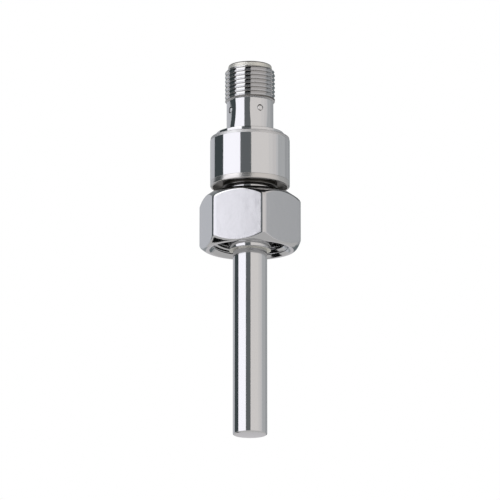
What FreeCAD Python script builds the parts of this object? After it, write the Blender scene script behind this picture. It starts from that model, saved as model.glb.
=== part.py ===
"""Temperature probe: a closed steel rod, a stem held by a floating union nut, and a plug connector.

The axis of the probe is Z. Z is 0 at the end of the collar, where the rod comes out of the stem:
the rod hangs below it, and the union nut, the body and the connector stand above it. All sizes
are millimetres and degrees.
"""
import FreeCAD, Part
import math
import os
import re
import Sketcher

# Driving sizes: name, value, what it is.
SIZES = [
    ("rod_diameter", 8.2, "outside of the probe rod"),
    ("rod_length", 45, "rod below the collar"),
    ("rod_wall", 0.8, "wall of the rod's tube"),
    ("tip_thickness", 1.2, "closed end of the rod"),
    ("tip_round", 0.35, "edge radius of the tip"),
    ("rod_step", 0.35, "rod turned down to its spigot in the stem"),
    ("rod_spigot_length", 6, "length of that spigot"),
    ("collar_diameter", 10.1, "lip at the collar's end"),
    ("collar_length", 7.2, "collar up to the flange"),
    ("collar_chamfer", 0.06, "edge of the lip"),
    ("lip_height", 0.2, "lip below the sealing cone"),
    ("cone_inset", 0.2, "foot of the sealing cone inside the lip"),
    ("cone_angle", 15, "sealing cone, measured from the axis"),
    ("cone_height", 2.05, "height of that cone"),
    ("flange_clearance", 0.238, "flange and washer inside the nut's thread"),
    ("flange_thickness", 2.5, "height of the flange"),
    ("flange_chamfer", 0.25, "edges of the flange"),
    ("neck_diameter", 12.5, "stem between flange and body"),
    ("neck_step", 0.55, "neck turned down to its spigot in the base ring"),
    ("stem_spigot_length", 2.6, "length of that spigot"),
    ("seal_section", 1.8, "cord of the flange seal"),
    ("washer_thickness", 1, "thrust washer between flange and nut"),
    ("washer_clearance", 0.2, "radial play of the washer on the neck"),
    ("nut_flats", 22, "across the flats of the union nut"),
    ("nut_corner_radius", 0.8, "rounding of the nut's corners"),
    ("nut_edge_round", 0.3, "soft edges between flats and chamfers"),
    ("nut_depth", 10.6, "mouth of the nut to its inner shoulder"),
    ("nut_roof", 3, "nut above the shoulder"),
    ("nut_chamfer_angle", 36, "end chamfers, measured from the end faces"),
    ("nut_top_chamfer", 1.25, "flats to the flat ring on top of the nut"),
    ("nut_bottom_chamfer", 0.2, "flats to the flat ring under the nut"),
    ("nut_thread_minor", 16.376, "bore of the nut's M18 x 1.5 thread"),
    ("nut_thread_major", 18, "root of the nut's thread"),
    ("nut_mouth_chamfer", 0.6, "countersink past the thread's root"),
    ("nut_relief_depth", 0.1, "undercut past the thread's root"),
    ("nut_relief_length", 2, "undercut below the shoulder"),
    ("nut_hole_clearance", 0.45, "radial play of the nut on the neck"),
    ("nut_hole_chamfer", 0.4, "edge of the nut's upper hole"),
    ("nut_float", 1.6, "axial travel of the loose nut"),
    ("float_clearance", 0.3, "gap left above the lifted nut"),
    ("body_diameter", 19.1, "outside of the body"),
    ("body_side", 10.05, "straight side of the body"),
    ("body_wall", 1.55, "wall of the body"),
    ("base_height", 1.3, "rim of the ring that closes the body"),
    ("base_edge", 0.12, "rounded edge of that rim"),
    ("base_lip", 0.55, "rim round the recess under the ring"),
    ("base_land", 0.3, "face round the neck, inside that recess"),
    ("base_recess", 1, "depth of the recess"),
    ("register_height", 1.5, "ring inside the body"),
    ("crown_height", 0.8, "tapered band above the side"),
    ("crown_taper", 0.1, "taper of that band, measured inwards"),
    ("shoulder_width", 1.35, "side to the step on top of the body"),
    ("shoulder_rise", 1.05, "height of that step"),
    ("shoulder_round", 0.12, "edges of band and step"),
    ("roof_thickness", 1.4, "wall over the body's cavity"),
    ("plug_neck_diameter", 11.25, "smooth neck of the connector"),
    ("plug_neck_length", 7.8, "neck from shoulder to thread"),
    ("thread_diameter", 12, "outside of the M12 x 1 thread"),
    ("thread_length", 8, "thread with its run-outs"),
    ("thread_chamfer", 0.5, "ends of the thread"),
    ("rim_step", 0.75, "thread down to the plain rim above it"),
    ("rim_length", 1.2, "height of the rim"),
    ("rim_round", 0.25, "outer edge of the rim"),
    ("socket_diameter", 8.6, "inside of the connector"),
    ("socket_chamfer", 0.3, "lead-in of the socket"),
    ("socket_depth", 8.8, "rim to the face of the contact carrier"),
    ("stake_angle", 41.5, "first staking dent, from the front"),
    ("stake_drop", 2.4, "dents below the thread"),
    ("stake_diameter", 1.5, "flat nose of the staking punch"),
    ("stake_depth", 0.22, "depth of a dent"),
    ("stake_bulge_radius", 0.5, "wall pushed into the carrier's groove"),
    ("stake_bulge", 0.3, "height of that bulge"),
    ("carrier_foot", 1, "foot of the contact carrier under the roof"),
    ("carrier_foot_thickness", 1.2, "height of that foot"),
    ("carrier_groove", 0.45, "depth of the groove for the dents"),
    ("carrier_groove_width", 1.8, "width of that groove"),
    ("carrier_seal_section", 1, "cord of the carrier's seal"),
    ("carrier_seal_height", 2.6, "seal above the roof of the body"),
    ("key_width", 1, "coding rib in the socket"),
    ("key_height", 0.7, "rib, measured inwards"),
    ("key_recess", 1.4, "rib below the rim"),
    ("pin_diameter", 1, "contact pins"),
    ("pin_wall", 0.24, "carrier between a pin and the seal's groove"),
    ("pin_recess", 1.9, "pin tips below the rim"),
    ("pin_point", 0.3, "tapered end of a pin"),
    ("pin_collar", 1.5, "collar between carrier and board"),
    ("pin_collar_thickness", 0.5, "height of that collar"),
    ("pin_tail", 0.7, "solder tail of a pin"),
    ("pin_tail_length", 1.5, "tail below its collar"),
    ("board_gap", 1, "terminal board to the body's wall"),
    ("board_thickness", 1, "height of the board"),
    ("potting_height", 1.5, "resin over the base ring"),
    ("wire_diameter", 0.7, "insulated lead wires"),
    ("wire_pitch", 0.8, "two wires of one crimp"),
    ("wire_pad_radius", 3.4, "where the wires meet the board"),
    ("wire_end", 0.3, "straight ends of the wires' bend"),
    ("crimp_diameter", 1.5, "crimp sleeves"),
    ("crimp_pitch", 1.8, "between the two crimps"),
    ("crimp_length", 4, "length of a crimp"),
    ("element_width", 2.3, "platinum chip"),
    ("element_thickness", 0.9, "platinum chip"),
    ("element_length", 3.9, "platinum chip"),
    ("element_standoff", 0.6, "chip above the tip's inner face"),
    ("element_lead", 0.25, "bare leads of the chip"),
    ("element_lead_length", 5.8, "chip to crimp"),
    ("filling_height", 7.8, "heat-conducting filling in the tip"),
    ("sleeve_wall", 0.9, "insulating sleeve in the rod"),
    ("sleeve_top_gap", 1, "sleeve below the end of the spigot"),
    ("fit_clearance", 0.03, "radial play of pieces that fit together"),
]

# Heights and radii that follow from the driving sizes.
LEVELS = [
    ("rod_bore", "rod_diameter / 2 - rod_wall"),
    ("rod_spigot", "rod_diameter / 2 - rod_step"),
    ("cone_foot", "collar_diameter / 2 - cone_inset"),
    ("cone_top", "lip_height + cone_height"),
    ("seal_seat", "cone_foot + cone_height * tan(cone_angle)"),
    ("flange_radius", "nut_thread_minor / 2 - flange_clearance"),
    ("stem_spigot", "neck_diameter / 2 - neck_step"),
    ("flange_top", "collar_length + flange_thickness"),
    ("washer_top", "flange_top + washer_thickness"),
    ("nut_base", "washer_top - nut_depth"),
    ("nut_top", "washer_top + nut_roof"),
    ("nut_corner", "nut_flats / sqrt(3)"),
    ("nut_top_face", "nut_flats / 2 - nut_top_chamfer"),
    ("nut_bottom_face", "nut_flats / 2 - nut_bottom_chamfer"),
    ("nut_mouth_radius", "nut_thread_major / 2 + nut_mouth_chamfer"),
    ("nut_relief_radius", "nut_thread_major / 2 + nut_relief_depth"),
    ("nut_hole_radius", "neck_diameter / 2 + nut_hole_clearance"),
    ("base_bottom", "nut_top + nut_float + float_clearance"),
    ("base_top", "base_bottom + base_height"),
    ("register_top", "base_top + register_height"),
    ("body_bore", "body_diameter / 2 - body_wall"),
    ("side_top", "base_top + body_side"),
    ("crown_radius", "body_diameter / 2 - crown_taper"),
    ("crown_top", "side_top + crown_height"),
    ("shoulder_radius", "body_diameter / 2 - shoulder_width"),
    ("shoulder_top", "crown_top + shoulder_rise"),
    ("roof_base", "shoulder_top - roof_thickness"),
    ("plug_neck_top", "shoulder_top + plug_neck_length"),
    ("thread_top", "plug_neck_top + thread_length"),
    ("rim_top", "thread_top + rim_length"),
    ("rim_radius", "thread_diameter / 2 - rim_step"),
    ("stake_height", "plug_neck_top - stake_drop"),
    ("carrier_radius", "socket_diameter / 2 - fit_clearance"),
    ("carrier_base", "roof_base - carrier_foot_thickness"),
    ("carrier_face", "rim_top - socket_depth"),
    ("carrier_seal_level", "roof_base + carrier_seal_height"),
    ("carrier_seal_floor", "socket_diameter / 2 - carrier_seal_section - fit_clearance * 2"),
    ("pin_circle", "2 * (carrier_seal_floor - pin_wall) - pin_diameter"),
    ("pin_tip", "rim_top - pin_recess"),
    ("board_top", "carrier_base - pin_collar_thickness"),
    ("board_base", "board_top - board_thickness"),
    ("potting_top", "register_top + potting_height"),
    ("wire_radius", "sqrt((crimp_pitch / 2) ^ 2 + (wire_pitch / 2) ^ 2)"),
    ("tip_floor", "tip_thickness - rod_length"),
    ("filling_top", "tip_floor + filling_height"),
    ("element_base", "tip_floor + element_standoff"),
    ("element_top", "element_base + element_length"),
    ("crimp_base", "element_top + element_lead_length"),
    ("crimp_top", "crimp_base + crimp_length"),
]

doc = FreeCAD.newDocument("TemperatureProbe")
pieces = []


def fill_sheet(sheet_name, rows, first_cell=""):
    """A sheet with one named cell in column B for each row."""
    sheet = doc.addObject("Spreadsheet::Sheet", sheet_name)
    for line, (name, content, *note) in enumerate(rows, start=1):
        sheet.set(f"A{line}", name)
        sheet.set(f"B{line}", first_cell + bind(str(content)))
        sheet.setAlias(f"B{line}", name)
        sheet.set(f"C{line}", "".join(note))
        sheet_of[name] = sheet_name
        sheet.recompute()
    return sheet


def bind(text):
    """The expression with each named size or level led by its sheet's name."""
    return re.sub(r"[a-z][a-z_]+", lambda word: full_name(word.group()), text)


def full_name(word):
    return f"{sheet_of[word]}.{word}" if word in sheet_of else word


def number(text):
    """The value that an expression has now."""
    return float(levels.evalExpression(bind(text)))


sheet_of = {}
sizes = fill_sheet("Sizes", SIZES)
levels = fill_sheet("Levels", LEVELS, "=")
doc.recompute()


def new_body(name):
    body = doc.addObject("PartDesign::Body", name)
    body.Label = name
    pieces.append(body)
    return body


def new_sketch(body, plane, height=None):
    """An empty sketch on one of the body's origin planes, or above its XY plane."""
    sketch = body.newObject("Sketcher::SketchObject", f"{body.Name}_sketch")
    support = next(item for item in body.Origin.OriginFeatures if item.Role == plane)
    sketch.AttachmentSupport = (support, [""])
    sketch.MapMode = "FlatFace"
    if height:
        sketch.setExpression("AttachmentOffset.Base.z", bind(height))
    return sketch


def drive(sketch, constraint, text):
    """Add a constraint whose value follows an expression."""
    index = sketch.addConstraint(constraint)
    sketch.setExpression(f"Constraints[{index}]", bind(text))


def fix_point(sketch, geometry, end, across, up):
    """Hold one point of the sketch at two coordinates given as expressions."""
    for kind, axis, text in (("DistanceX", -2, across), ("DistanceY", -1, up)):
        if text == "0":
            sketch.addConstraint(Sketcher.Constraint("PointOnObject", geometry, end, axis))
        else:
            drive(sketch, Sketcher.Constraint(kind, -1, 1, geometry, end, number(text)), text)


def draw_outline(sketch, outline):
    """A closed outline of straight lines through points given as pairs of expressions."""
    points = [FreeCAD.Vector(number(across), number(up), 0) for across, up in outline]
    for start, end in zip(points, points[1:] + points[:1]):
        sketch.addGeometry(Part.LineSegment(start, end))
    for line, (across, up) in enumerate(outline):
        line_before = (line - 1) % len(outline)
        sketch.addConstraint(Sketcher.Constraint("Coincident", line_before, 2, line, 1))
        fix_point(sketch, line, 1, across, up)


def draw_circle(sketch, across, up, diameter):
    middle = FreeCAD.Vector(number(across), number(up), 0)
    circle = sketch.addGeometry(Part.Circle(middle, FreeCAD.Vector(0, 0, 1), number(diameter) / 2))
    fix_point(sketch, circle, 3, across, up)
    drive(sketch, Sketcher.Constraint("Diameter", circle, number(diameter)), diameter)


def revolve(body, kind, outline):
    """Turn an outline of (radius, height) about Z, as Revolution or Groove."""
    sketch = new_sketch(body, "XZ_Plane")
    draw_outline(sketch, outline)
    feature = body.newObject(f"PartDesign::{kind}", f"{body.Name}_{kind.lower()}")
    feature.Profile = sketch
    feature.ReferenceAxis = (sketch, ["V_Axis"])
    feature.Angle = 360
    doc.recompute()
    return feature


def turned(name, outline):
    body = new_body(name)
    revolve(body, "Revolution", outline)
    return body


def extrude(body, kind, sketch, length, reverse=False):
    """Pad or Pocket a sketch by a length given as an expression."""
    feature = body.newObject(f"PartDesign::{kind}", f"{body.Name}_{kind.lower()}")
    feature.Profile = sketch
    feature.setExpression("Length", bind(length))
    feature.Reversed = reverse
    doc.recompute()
    return feature


def polar(body, features, count):
    """Repeat features evenly round Z."""
    pattern = body.newObject("PartDesign::PolarPattern", f"{body.Name}_pattern")
    pattern.Originals = features
    axis = next(item for item in body.Origin.OriginFeatures if item.Role == "Z_Axis")
    pattern.Axis = (axis, [""])
    pattern.Angle = 360
    pattern.Occurrences = count
    body.Tip = pattern
    doc.recompute()


def dress(body, kind, edges, size):
    """Fillet or Chamfer the named edges of the body as it now is."""
    base = body.Tip
    feature = body.newObject(f"PartDesign::{kind}", f"{body.Name}_{kind.lower()}")
    feature.Base = (base, edges)
    feature.setExpression("Radius" if kind == "Fillet" else "Size", bind(size))
    doc.recompute()


def round_edges(body, *places):
    """Names of the circular edges about Z at (radius, height)."""
    names = []
    for radius, height in places:
        for index, edge in enumerate(body.Tip.Shape.Edges, start=1):
            curve = edge.Curve
            if not isinstance(curve, Part.Circle):
                continue
            if math.isclose(curve.Radius, number(radius), abs_tol=1e-4) and math.isclose(
                curve.Center.z, number(height), abs_tol=1e-4
            ):
                names.append(f"Edge{index}")
    return names


def upright_edges(body):
    """Names of the straight edges that run along Z."""
    return [
        f"Edge{index}"
        for index, edge in enumerate(body.Tip.Shape.Edges, start=1)
        if len(edge.Vertexes) == 2 and math.isclose(abs(edge.tangentAt(edge.FirstParameter).z), 1)
    ]


def chamfer_edges(body):
    """Names of the edges where a cone meets the flats and corners of a hexagon."""
    cones = [face for face in body.Tip.Shape.Faces if isinstance(face.Surface, Part.Cone)]
    rims = [edge for face in cones for edge in face.Edges if not isinstance(edge.Curve, Part.Circle)]
    return [
        f"Edge{index}"
        for index, edge in enumerate(body.Tip.Shape.Edges, start=1)
        if any(edge.isSame(rim) for rim in rims) and len(edge.Vertexes) == 2
    ]


def primitive(kind, name, place, **dimensions):
    """A Part primitive whose dimensions and place are expressions."""
    item = doc.addObject(f"Part::{kind}", name)
    item.Label = name
    for dimension, text in dimensions.items():
        item.setExpression(dimension, bind(text))
    for letter, text in zip("xyz", place):
        item.setExpression(f"Placement.Base.{letter}", bind(text))
    pieces.append(item)
    return item


def probe_tube():
    """Closed rod with a turned-down top that sits in the stem."""
    tube = turned("probe_tube", [
        ("0", "-rod_length"),
        ("rod_diameter / 2", "-rod_length"),
        ("rod_diameter / 2", "0"),
        ("rod_spigot", "0"),
        ("rod_spigot", "rod_spigot_length"),
        ("rod_bore", "rod_spigot_length"),
        ("rod_bore", "tip_floor"),
        ("0", "tip_floor"),
    ])
    dress(tube, "Fillet", round_edges(tube, ("rod_diameter / 2", "-rod_length")), "tip_round")


def stem():
    """Collar with a sealing cone, flange and neck in one piece, bored for the rod and the wires."""
    body = turned("stem", [
        ("rod_spigot + fit_clearance", "0"),
        ("collar_diameter / 2", "0"),
        ("collar_diameter / 2", "lip_height"),
        ("cone_foot", "lip_height"),
        ("seal_seat", "cone_top"),
        ("seal_seat", "collar_length"),
        ("flange_radius", "collar_length"),
        ("flange_radius", "flange_top"),
        ("neck_diameter / 2", "flange_top"),
        ("neck_diameter / 2", "base_bottom"),
        ("stem_spigot", "base_bottom"),
        ("stem_spigot", "base_bottom + stem_spigot_length"),
        ("rod_bore", "base_bottom + stem_spigot_length"),
        ("rod_bore", "rod_spigot_length + fit_clearance"),
        ("rod_spigot + fit_clearance", "rod_spigot_length + fit_clearance"),
    ])
    dress(body, "Chamfer", round_edges(body, ("collar_diameter / 2", "0")), "collar_chamfer")
    flange_edges = round_edges(
        body, ("flange_radius", "collar_length"), ("flange_radius", "flange_top")
    )
    dress(body, "Chamfer", flange_edges, "flange_chamfer")


def flange_seal():
    """Rubber ring round the collar, under the flange."""
    primitive(
        "Torus",
        "flange_seal",
        ("0", "0", "collar_length - seal_section / 2 - fit_clearance"),
        Radius1="seal_seat + seal_section / 2 + fit_clearance",
        Radius2="seal_section / 2",
    )


def thrust_washer():
    turned("thrust_washer", [
        ("neck_diameter / 2 + washer_clearance", "flange_top"),
        ("flange_radius", "flange_top"),
        ("flange_radius", "washer_top"),
        ("neck_diameter / 2 + washer_clearance", "washer_top"),
    ])


def union_nut():
    """Hexagon with rounded corners, coned at both ends and bored with a shoulder."""
    body = new_body("union_nut")
    sketch = new_sketch(body, "XY_Plane", "nut_base")
    corner_radius = number("nut_corner")
    circle = sketch.addGeometry(
        Part.Circle(FreeCAD.Vector(0, 0, 0), FreeCAD.Vector(0, 0, 1), corner_radius), True
    )
    sketch.addConstraint(Sketcher.Constraint("Coincident", circle, 3, -1, 1))
    drive(sketch, Sketcher.Constraint("Radius", circle, corner_radius), "nut_corner")
    corners = [
        FreeCAD.Vector(corner_radius * math.cos(turn), corner_radius * math.sin(turn), 0)
        for turn in (math.radians(60 * step) for step in range(6))
    ]
    lines = [
        sketch.addGeometry(Part.LineSegment(start, end))
        for start, end in zip(corners, corners[1:] + corners[:1])
    ]
    for line, after in zip(lines, lines[1:] + lines[:1]):
        sketch.addConstraint(Sketcher.Constraint("Coincident", line, 2, after, 1))
        sketch.addConstraint(Sketcher.Constraint("PointOnObject", line, 2, circle))
    for line in lines[1:]:
        sketch.addConstraint(Sketcher.Constraint("Equal", lines[0], line))
    sketch.addConstraint(Sketcher.Constraint("Horizontal", lines[1]))
    extrude(body, "Pad", sketch, "nut_depth + nut_roof")
    dress(body, "Fillet", upright_edges(body), "nut_corner_radius")
    top_rise = "(nut_corner - nut_top_face) * tan(nut_chamfer_angle)"
    revolve(body, "Groove", [
        ("nut_top_face", "nut_top"),
        ("nut_corner", "nut_top"),
        ("nut_corner", f"nut_top - {top_rise}"),
    ])
    bottom_rise = "(nut_corner - nut_bottom_face) * tan(nut_chamfer_angle)"
    revolve(body, "Groove", [
        ("nut_bottom_face", "nut_base"),
        ("nut_corner", "nut_base"),
        ("nut_corner", f"nut_base + {bottom_rise}"),
    ])
    dress(body, "Fillet", chamfer_edges(body), "nut_edge_round")
    revolve(body, "Groove", [
        ("0", "nut_base"),
        ("nut_mouth_radius", "nut_base"),
        ("nut_thread_minor / 2", "nut_base + nut_mouth_radius - nut_thread_minor / 2"),
        ("nut_thread_minor / 2", "washer_top - nut_relief_length"),
        ("nut_relief_radius", "washer_top - nut_relief_length"),
        ("nut_relief_radius", "washer_top"),
        ("nut_hole_radius", "washer_top"),
        ("nut_hole_radius", "nut_top - nut_hole_chamfer"),
        ("nut_hole_radius + nut_hole_chamfer", "nut_top"),
        ("0", "nut_top"),
    ])


def base_ring():
    """Ring on the stem that closes the body, recessed below; its rim carries on the body's side."""
    body = turned("base_ring", [
        ("stem_spigot + fit_clearance", "base_bottom"),
        ("neck_diameter / 2 + base_land", "base_bottom"),
        ("neck_diameter / 2 + base_land", "base_bottom + base_recess"),
        ("body_diameter / 2 - base_lip", "base_bottom + base_recess"),
        ("body_diameter / 2 - base_lip", "base_bottom"),
        ("body_diameter / 2", "base_bottom"),
        ("body_diameter / 2", "base_top"),
        ("body_bore - fit_clearance", "base_top"),
        ("body_bore - fit_clearance", "register_top"),
        ("stem_spigot + fit_clearance", "register_top"),
    ])
    dress(body, "Fillet", round_edges(body, ("body_diameter / 2", "base_bottom")), "base_edge")


def connector_housing():
    """Body, shoulder, neck and thread of the connector in one turned piece, with staking dents."""
    body = turned("connector_housing", [
        ("body_bore", "base_top"),
        ("body_diameter / 2", "base_top"),
        ("body_diameter / 2", "side_top"),
        ("crown_radius", "crown_top"),
        ("shoulder_radius", "crown_top"),
        ("shoulder_radius", "shoulder_top"),
        ("plug_neck_diameter / 2", "shoulder_top"),
        ("plug_neck_diameter / 2", "plug_neck_top"),
        ("thread_diameter / 2 - thread_chamfer", "plug_neck_top"),
        ("thread_diameter / 2", "plug_neck_top + thread_chamfer"),
        ("thread_diameter / 2", "thread_top - thread_chamfer"),
        ("thread_diameter / 2 - thread_chamfer", "thread_top"),
        ("rim_radius", "thread_top"),
        ("rim_radius", "rim_top"),
        ("socket_diameter / 2", "rim_top"),
        ("socket_diameter / 2", "roof_base"),
        ("body_bore - body_wall", "roof_base"),
        ("body_bore", "roof_base - body_wall"),
    ])
    shoulder_edges = round_edges(body, ("crown_radius", "crown_top"), ("shoulder_radius", "shoulder_top"))
    dress(body, "Fillet", shoulder_edges, "shoulder_round")
    dress(body, "Fillet", round_edges(body, ("rim_radius", "rim_top")), "rim_round")
    dress(body, "Chamfer", round_edges(body, ("socket_diameter / 2", "rim_top")), "socket_chamfer")
    polar(body, [staking_dent(body)], 4)
    polar(body, [staking_bulge(body)], 4)


def staking_dent(body):
    """Round flat mark of the staking punch, struck square to the neck's wall."""
    mark = new_sketch(body, "XZ_Plane")
    about_probe = FreeCAD.Rotation(FreeCAD.Vector(0, 1, 0), 1)
    mark.AttachmentOffset = FreeCAD.Placement(FreeCAD.Vector(0, 0, 0), about_probe)
    mark.setExpression("AttachmentOffset.Rotation.Angle", bind("stake_angle * 1 deg"))
    mark.setExpression("AttachmentOffset.Base.x", bind("plug_neck_diameter / 2 * sin(stake_angle)"))
    mark.setExpression("AttachmentOffset.Base.z", bind("plug_neck_diameter / 2 * cos(stake_angle)"))
    draw_circle(mark, "0", "stake_height", "stake_diameter")
    return extrude(body, "Pocket", mark, "stake_depth")


def staking_bulge(body):
    """Wall that the punch pushes into the contact carrier's groove."""
    bulge = body.newObject("PartDesign::AdditiveSphere", f"{body.Name}_bulge")
    bulge.setExpression("Radius", bind("stake_bulge_radius"))
    distance = "(socket_diameter / 2 + stake_bulge_radius - stake_bulge)"
    bulge.setExpression("Placement.Base.x", bind(f"{distance} * sin(stake_angle)"))
    bulge.setExpression("Placement.Base.y", bind(f"-{distance} * cos(stake_angle)"))
    bulge.setExpression("Placement.Base.z", bind("stake_height"))
    doc.recompute()
    return bulge


def contact_carrier():
    """Moulded insert with a foot, a seal groove, a groove for the dents and a coding rib."""
    groove_low = "stake_height - carrier_groove_width / 2"
    groove_high = "stake_height + carrier_groove_width / 2"
    groove_floor = "carrier_radius - carrier_groove"
    seal_half = "(carrier_seal_section / 2 + fit_clearance)"
    body = turned("contact_carrier", [
        ("0", "carrier_base"),
        ("socket_diameter / 2 + carrier_foot", "carrier_base"),
        ("socket_diameter / 2 + carrier_foot", "roof_base"),
        ("carrier_radius", "roof_base"),
        ("carrier_radius", f"carrier_seal_level - {seal_half}"),
        ("carrier_seal_floor", f"carrier_seal_level - {seal_half}"),
        ("carrier_seal_floor", f"carrier_seal_level + {seal_half}"),
        ("carrier_radius", f"carrier_seal_level + {seal_half}"),
        ("carrier_radius", groove_low),
        (groove_floor, groove_low),
        (groove_floor, groove_high),
        ("carrier_radius", groove_high),
        ("carrier_radius", "carrier_face"),
        ("0", "carrier_face"),
    ])
    rib = new_sketch(body, "XY_Plane", "carrier_face")
    rib_outer = "sqrt(carrier_radius ^ 2 - (key_width / 2) ^ 2)"
    rib_inner = "carrier_radius - key_height"
    draw_outline(rib, [
        ("-key_width / 2", rib_inner),
        ("key_width / 2", rib_inner),
        ("key_width / 2", rib_outer),
        ("-key_width / 2", rib_outer),
    ])
    extrude(body, "Pad", rib, "socket_depth - key_recess")
    pin_hole = new_sketch(body, "XY_Plane", "carrier_base")
    place = "pin_circle / 2 * sqrt(0.5)"
    draw_circle(pin_hole, place, place, "pin_diameter + 2 * fit_clearance")
    hole = extrude(body, "Pocket", pin_hole, "carrier_face - carrier_base", reverse=True)
    polar(body, [hole], 4)


def carrier_seal():
    primitive(
        "Torus",
        "carrier_seal",
        ("0", "0", "carrier_seal_level"),
        Radius1="carrier_seal_floor + carrier_seal_section / 2 + fit_clearance",
        Radius2="carrier_seal_section / 2",
    )


def contact_pins():
    """Four turned pins, each held by a collar between the carrier and the board."""
    for count in range(1, 5):
        pin = turned(f"contact_pin_{count}", [
            ("0", "board_top - pin_tail_length"),
            ("pin_tail / 2", "board_top - pin_tail_length"),
            ("pin_tail / 2", "board_top"),
            ("pin_collar / 2", "board_top"),
            ("pin_collar / 2", "carrier_base"),
            ("pin_diameter / 2", "carrier_base"),
            ("pin_diameter / 2", "pin_tip - pin_point * 2"),
            ("pin_diameter / 2 - pin_point", "pin_tip"),
            ("0", "pin_tip"),
        ])
        turn = 90 * count - 45
        pin.setExpression("Placement.Base.x", bind(f"pin_circle / 2 * cos({turn})"))
        pin.setExpression("Placement.Base.y", bind(f"pin_circle / 2 * sin({turn})"))


def terminal_board():
    """Round board with a hole for each pin's tail."""
    body = new_body("terminal_board")
    disc = new_sketch(body, "XY_Plane", "board_base")
    draw_circle(disc, "0", "0", "2 * (body_bore - board_gap)")
    extrude(body, "Pad", disc, "board_thickness")
    tail_hole = new_sketch(body, "XY_Plane", "board_base")
    place = "pin_circle / 2 * sqrt(0.5)"
    draw_circle(tail_hole, place, place, "pin_tail + 2 * fit_clearance")
    hole = extrude(body, "Pocket", tail_hole, "board_thickness", reverse=True)
    polar(body, [hole], 4)


def potting():
    """Disc of resin on the base ring, with a hole for each wire."""
    body = turned("potting", [
        ("0", "register_top"),
        ("body_bore - fit_clearance", "register_top"),
        ("body_bore - fit_clearance", "potting_top"),
        ("0", "potting_top"),
    ])
    holes = new_sketch(body, "XY_Plane", "register_top")
    for side in ("crimp_pitch / 2", "-crimp_pitch / 2"):
        for across in ("wire_pitch / 2", "-wire_pitch / 2"):
            draw_circle(holes, side, across, "wire_diameter + 2 * fit_clearance")
    extrude(body, "Pocket", holes, "potting_height", reverse=True)


def lead_wires():
    """Four wires, straight from the crimps through stem and resin, then splayed out to the board."""
    for count, turn in enumerate(("{}", "180 - {}", "180 + {}", "-{}"), start=1):
        body = new_body(f"lead_wire_{count}")
        section = new_sketch(body, "XY_Plane", "crimp_top")
        draw_circle(section, "wire_radius", "0", "wire_diameter")
        route = new_sketch(body, "XZ_Plane")
        draw_wire_route(route)
        pipe = body.newObject("PartDesign::AdditivePipe", f"{body.Name}_pipe")
        pipe.Profile = section
        pipe.Spine = (route, ["Edge1", "Edge2", "Edge3", "Edge4"])
        body.Placement.Rotation = FreeCAD.Rotation(FreeCAD.Vector(0, 0, 1), 1)
        angle = turn.format("atan(wire_pitch / crimp_pitch)")
        body.setExpression("Placement.Rotation.Angle", bind(angle.replace("180", "180 deg")))
        doc.recompute()


def draw_wire_route(route):
    """A straight run, an S of two equal arcs, and a short straight end at the board."""
    low, high = number("potting_top + wire_end"), number("board_base - wire_end")
    inner, outer = number("wire_radius"), number("wire_pad_radius")
    bend = 2 * math.atan2(outer - inner, high - low)
    radius = (high - low) / (2 * math.sin(bend))
    normal = FreeCAD.Vector(0, 0, 1)
    first = Part.Circle(FreeCAD.Vector(inner + radius, low, 0), normal, radius)
    second = Part.Circle(FreeCAD.Vector(outer - radius, high, 0), normal, radius)
    route.addGeometry([
        Part.LineSegment(FreeCAD.Vector(inner, number("crimp_top"), 0), FreeCAD.Vector(inner, low, 0)),
        Part.ArcOfCircle(first, math.pi - bend, math.pi),
        Part.ArcOfCircle(second, -bend, 0),
        Part.LineSegment(FreeCAD.Vector(outer, high, 0), FreeCAD.Vector(outer, number("board_base"), 0)),
    ])
    route.addConstraint([
        Sketcher.Constraint("Vertical", 0),
        Sketcher.Constraint("Tangent", 0, 2, 1, 2),
        Sketcher.Constraint("Tangent", 1, 1, 2, 1),
        Sketcher.Constraint("Tangent", 2, 2, 3, 1),
        Sketcher.Constraint("Equal", 1, 2),
    ])
    fix_point(route, 0, 1, "wire_radius", "crimp_top")
    fix_point(route, 3, 2, "wire_pad_radius", "board_base")
    for line, end, text in ((0, 2, "potting_top + wire_end"), (3, 1, "board_base - wire_end")):
        drive(route, Sketcher.Constraint("DistanceY", -1, 1, line, end, number(text)), text)


def sensing_element():
    """Flat platinum chip in the tip, its two leads and the crimps that join them to the wires."""
    primitive(
        "Box",
        "sensing_element",
        ("-element_width / 2", "-element_thickness / 2", "element_base"),
        Length="element_width",
        Width="element_thickness",
        Height="element_length",
    )
    for count, side in enumerate(("-crimp_pitch / 2", "crimp_pitch / 2"), start=1):
        primitive(
            "Cylinder",
            f"element_lead_{count}",
            (side, "0", "element_top"),
            Radius="element_lead / 2",
            Height="element_lead_length",
        )
        primitive(
            "Cylinder",
            f"crimp_sleeve_{count}",
            (side, "0", "crimp_base"),
            Radius="crimp_diameter / 2",
            Height="crimp_length",
        )


def tip_filling():
    """Filling round the chip, with a pocket for it and a hole for each of its leads."""
    body = turned("tip_filling", [
        ("0", "tip_floor"),
        ("rod_bore - fit_clearance", "tip_floor"),
        ("rod_bore - fit_clearance", "filling_top"),
        ("0", "filling_top"),
    ])
    chip = new_sketch(body, "XY_Plane", "element_base")
    half_width = "(element_width / 2 + fit_clearance)"
    half_thickness = "(element_thickness / 2 + fit_clearance)"
    draw_outline(chip, [
        (f"-{half_width}", f"-{half_thickness}"),
        (half_width, f"-{half_thickness}"),
        (half_width, half_thickness),
        (f"-{half_width}", half_thickness),
    ])
    extrude(body, "Pocket", chip, "element_length", reverse=True)
    lead_holes = new_sketch(body, "XY_Plane", "element_top")
    for side in ("-crimp_pitch / 2", "crimp_pitch / 2"):
        draw_circle(lead_holes, side, "0", "element_lead + 2 * fit_clearance")
    extrude(body, "Pocket", lead_holes, "filling_top - element_top", reverse=True)


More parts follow.
